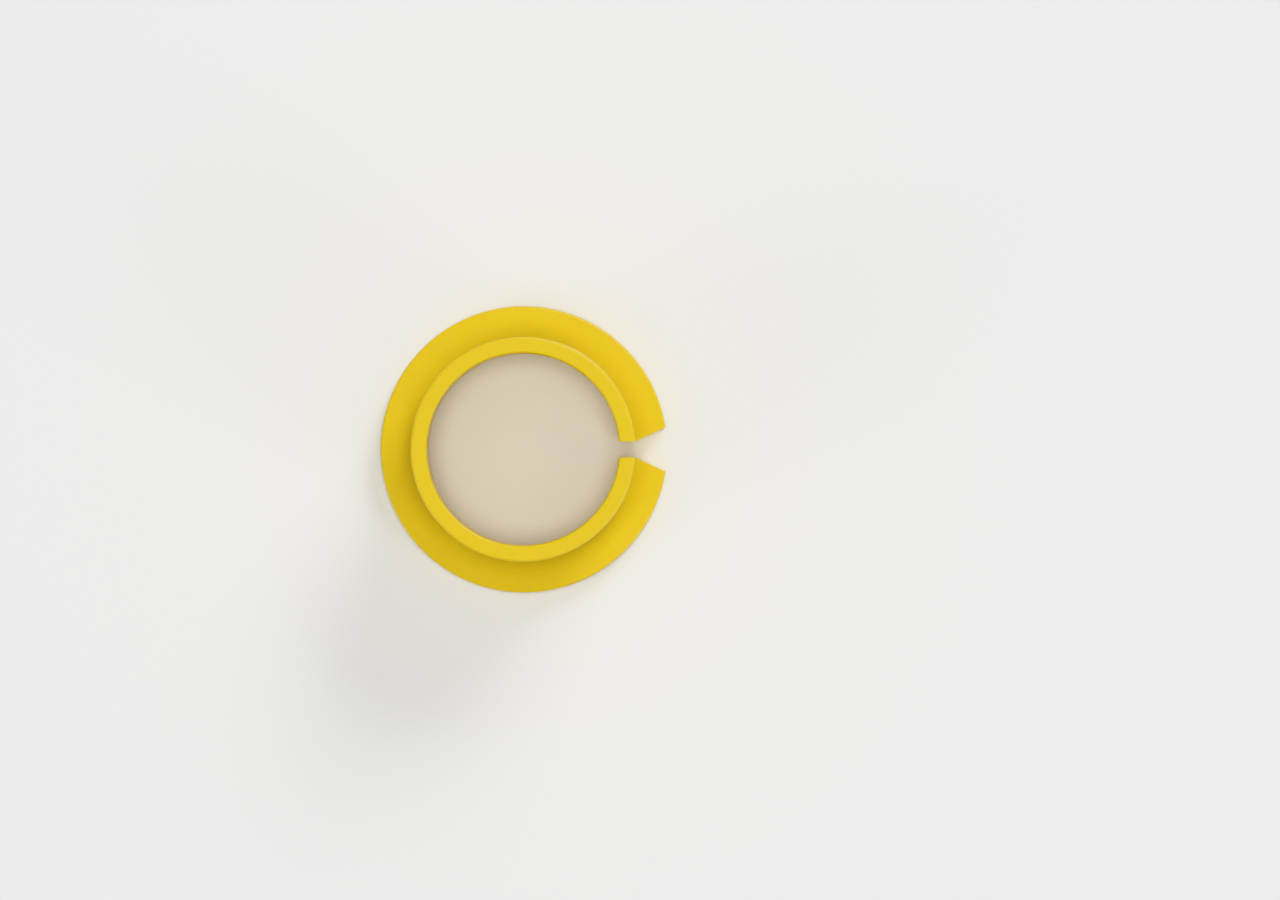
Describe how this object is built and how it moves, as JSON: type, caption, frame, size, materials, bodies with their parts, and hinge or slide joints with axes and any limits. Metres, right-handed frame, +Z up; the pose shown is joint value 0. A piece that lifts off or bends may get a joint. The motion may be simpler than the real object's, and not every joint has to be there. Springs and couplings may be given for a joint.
{
  "type": "split flanged bushing",
  "caption": "Split flanged sleeve bushing in yellow plastic: a plain bore, a flange at one end, and a lengthways slit that opens into a V across the flange.",
  "frame": {"origin": "centre of the bore, in the plane of the flange's outer face, on which the part stands", "axes": "+Z runs up the bore from the flange towards the sleeve's free end; +X points out through the middle of the slit"},
  "size_m": [0.0447, 0.045, 0.03],
  "materials": {
    "moulded_plastic": "satin"
  },
  "bodies": {
    "root": {"bushing": "moulded_plastic"}
  },
  "joints": []
}
